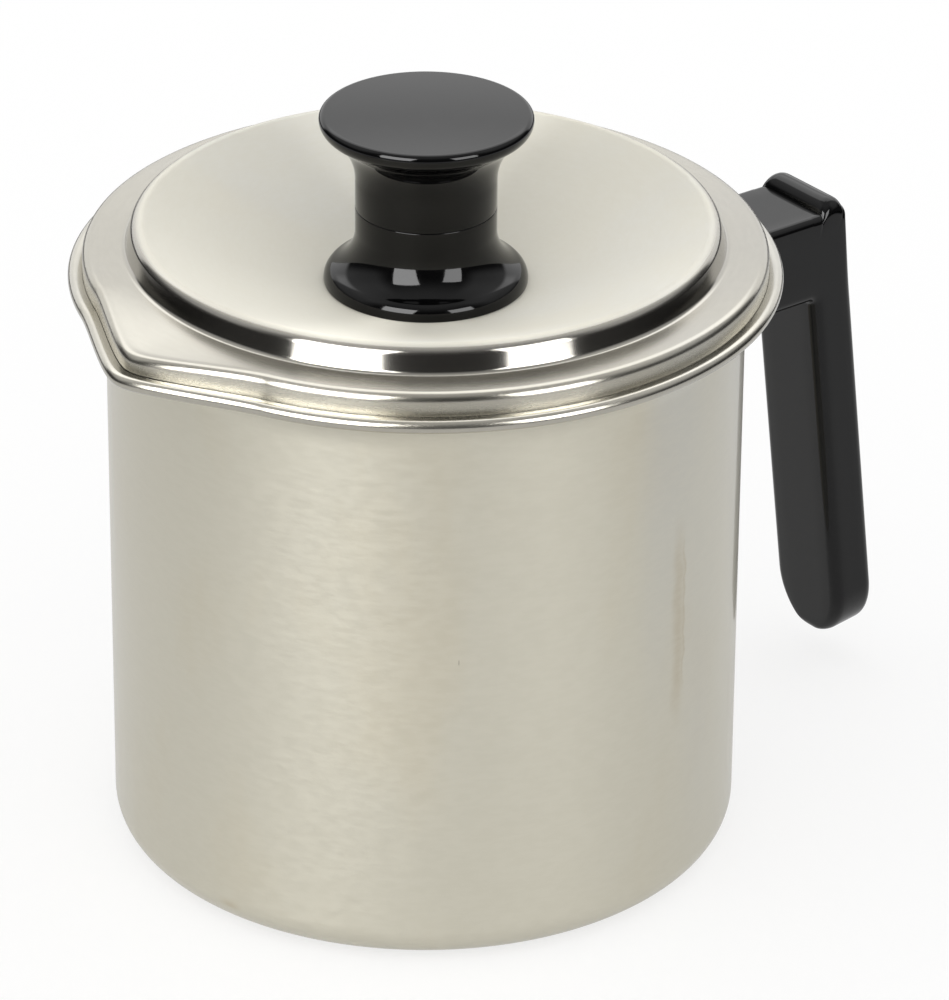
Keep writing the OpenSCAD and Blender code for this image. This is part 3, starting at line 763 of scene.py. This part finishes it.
def makeWorld():
    # white for the camera; for gloss a white sheet behind, a dim room in front and paler walls at the sides
    world = bpy.data.worlds.new("studio")
    bpy.context.scene.world = world
    world.use_nodes = True
    net = Net(world.node_tree)
    towards, right = cameraSide()
    way = net.add("ShaderNodeTexCoord", output=0)
    dot = lambda axis: net.add("ShaderNodeVectorMath", {"operation": "DOT_PRODUCT"}, {0: way, 1: axis}, 1)
    forward, side, up = dot(towards), dot(right), dot((0, 0, 1))
    turn = side.math("ARCTAN2", forward).math("ABSOLUTE") * (180 / math.pi)
    rise = up.math("ARCSINE") * (180 / math.pi)
    sheet = net.spread(turn, *stageLook["backTurn"]) * (1.0 - net.spread(rise, *stageLook["backTop"]))
    room = net.spread(rise, *stageLook["roomRise"], stageLook["room"], stageLook["roomHigh"])
    walls = net.spread(turn, *stageLook["sideTurn"]) * net.spread(rise, *stageLook["sideRise"])
    room = room + walls * (1.0 - net.spread(rise, *stageLook["sideTop"])) * stageLook["sides"]
    white, glossy = rayKind(net)
    sheetLevel = net.spread(rise, *stageLook["sheetRise"], stageLook["sheet"], stageLook["sheetHigh"])
    gloss = room + (sheetLevel - room) * sheet
    strength = glossy * gloss + (white - glossy) + (1.0 - white) * stageLook["fill"]
    shade = net.add("ShaderNodeBackground", inputs={"Color": colour(1, 1, 1), "Strength": strength})
    net.add("ShaderNodeOutputWorld", inputs={"Surface": shade})


softBoxes = {  # turn from the camera's side and rise, in degrees, of each box's edges; its own level
    "leftBox": {"turn": (-48.5, -15), "rise": (3, 46), "level": 8.5},
    "rightBox": {"turn": (29.0, 54.0), "rise": (3, 38), "level": 6.5},
}
boxAway = 1.15
boxAim = Vector((0, 0, 0.13))


def makeBox(name, turn, rise, level):
    # a flat rectangular lamp that fills those angles as seen from the pot's rim; power = level pi area
    towards, right = cameraSide()
    t, e = math.radians(sum(turn) / 2), math.radians(sum(rise) / 2)
    way = (towards * math.cos(t) + right * math.sin(t)) * math.cos(e) + Vector((0, 0, math.sin(e)))
    data = bpy.data.lights.new(name, "AREA")
    data.shape = "RECTANGLE"
    data.size = 2 * boxAway * math.tan(math.radians(turn[1] - turn[0]) / 2)
    data.size_y = 2 * boxAway * math.tan(math.radians(rise[1] - rise[0]) / 2)
    data.energy = level * math.pi * data.size * data.size_y
    lamp = bpy.data.objects.new(name, data)
    bpy.context.scene.collection.objects.link(lamp)
    lamp.location = boxAim + way * boxAway
    lamp.rotation_mode = "QUATERNION"
    lamp.rotation_quaternion = (-way).to_track_quat("-Z", "Y")
    lamp.visible_camera = lamp.visible_diffuse = False


view = {
    "azimuth": -37.3, "elevation": 27.885, "distance": 1.2657, "target": (0, 0, 0.06),
    "scale": 4937.0, "targetX": 424.69, "targetY": 545.45, "roll": 0.0042,
    "imageWidth": 949.0, "imageHeight": 1000.0,
}


def makeCamera():
    # aimed so that the target falls on its pixel of the photograph
    a, e = math.radians(view["azimuth"]), math.radians(view["elevation"])
    back = Vector((math.sin(a) * math.cos(e), -math.cos(a) * math.cos(e), math.sin(e)))
    right = Vector((math.cos(a), math.sin(a), 0))
    up = back.cross(right)
    focal = view["scale"] * view["distance"]  # in pixels
    base = Matrix((right, up, back)).transposed().to_4x4()
    roll = Matrix.Rotation(view["roll"], 4, "Z")
    dx = (view["targetX"] - view["imageWidth"] / 2) / focal
    dy = (view["imageHeight"] / 2 - view["targetY"]) / focal
    yaw = Matrix.Rotation(math.atan(dx), 4, "Y")
    pitch = Matrix.Rotation(-math.atan(dy), 4, "X")
    data = bpy.data.cameras.new("photoCamera")
    data.sensor_width = 36.0
    data.lens = focal / max(view["imageWidth"], view["imageHeight"]) * data.sensor_width
    camera = bpy.data.objects.new("photoCamera", data)
    bpy.context.scene.collection.objects.link(camera)
    place = Vector(view["target"]) + back * view["distance"]
    camera.matrix_world = Matrix.Translation(place) @ base @ roll @ yaw @ pitch
    data.clip_start, data.clip_end = 0.05, 20
    bpy.context.scene.camera = camera


makeFloor()
makeWorld()
for name, box in softBoxes.items():
    makeBox(name, **box)
makeCamera()
bpy.context.scene.view_settings.view_transform = "Standard"
print("stage, light and camera set")
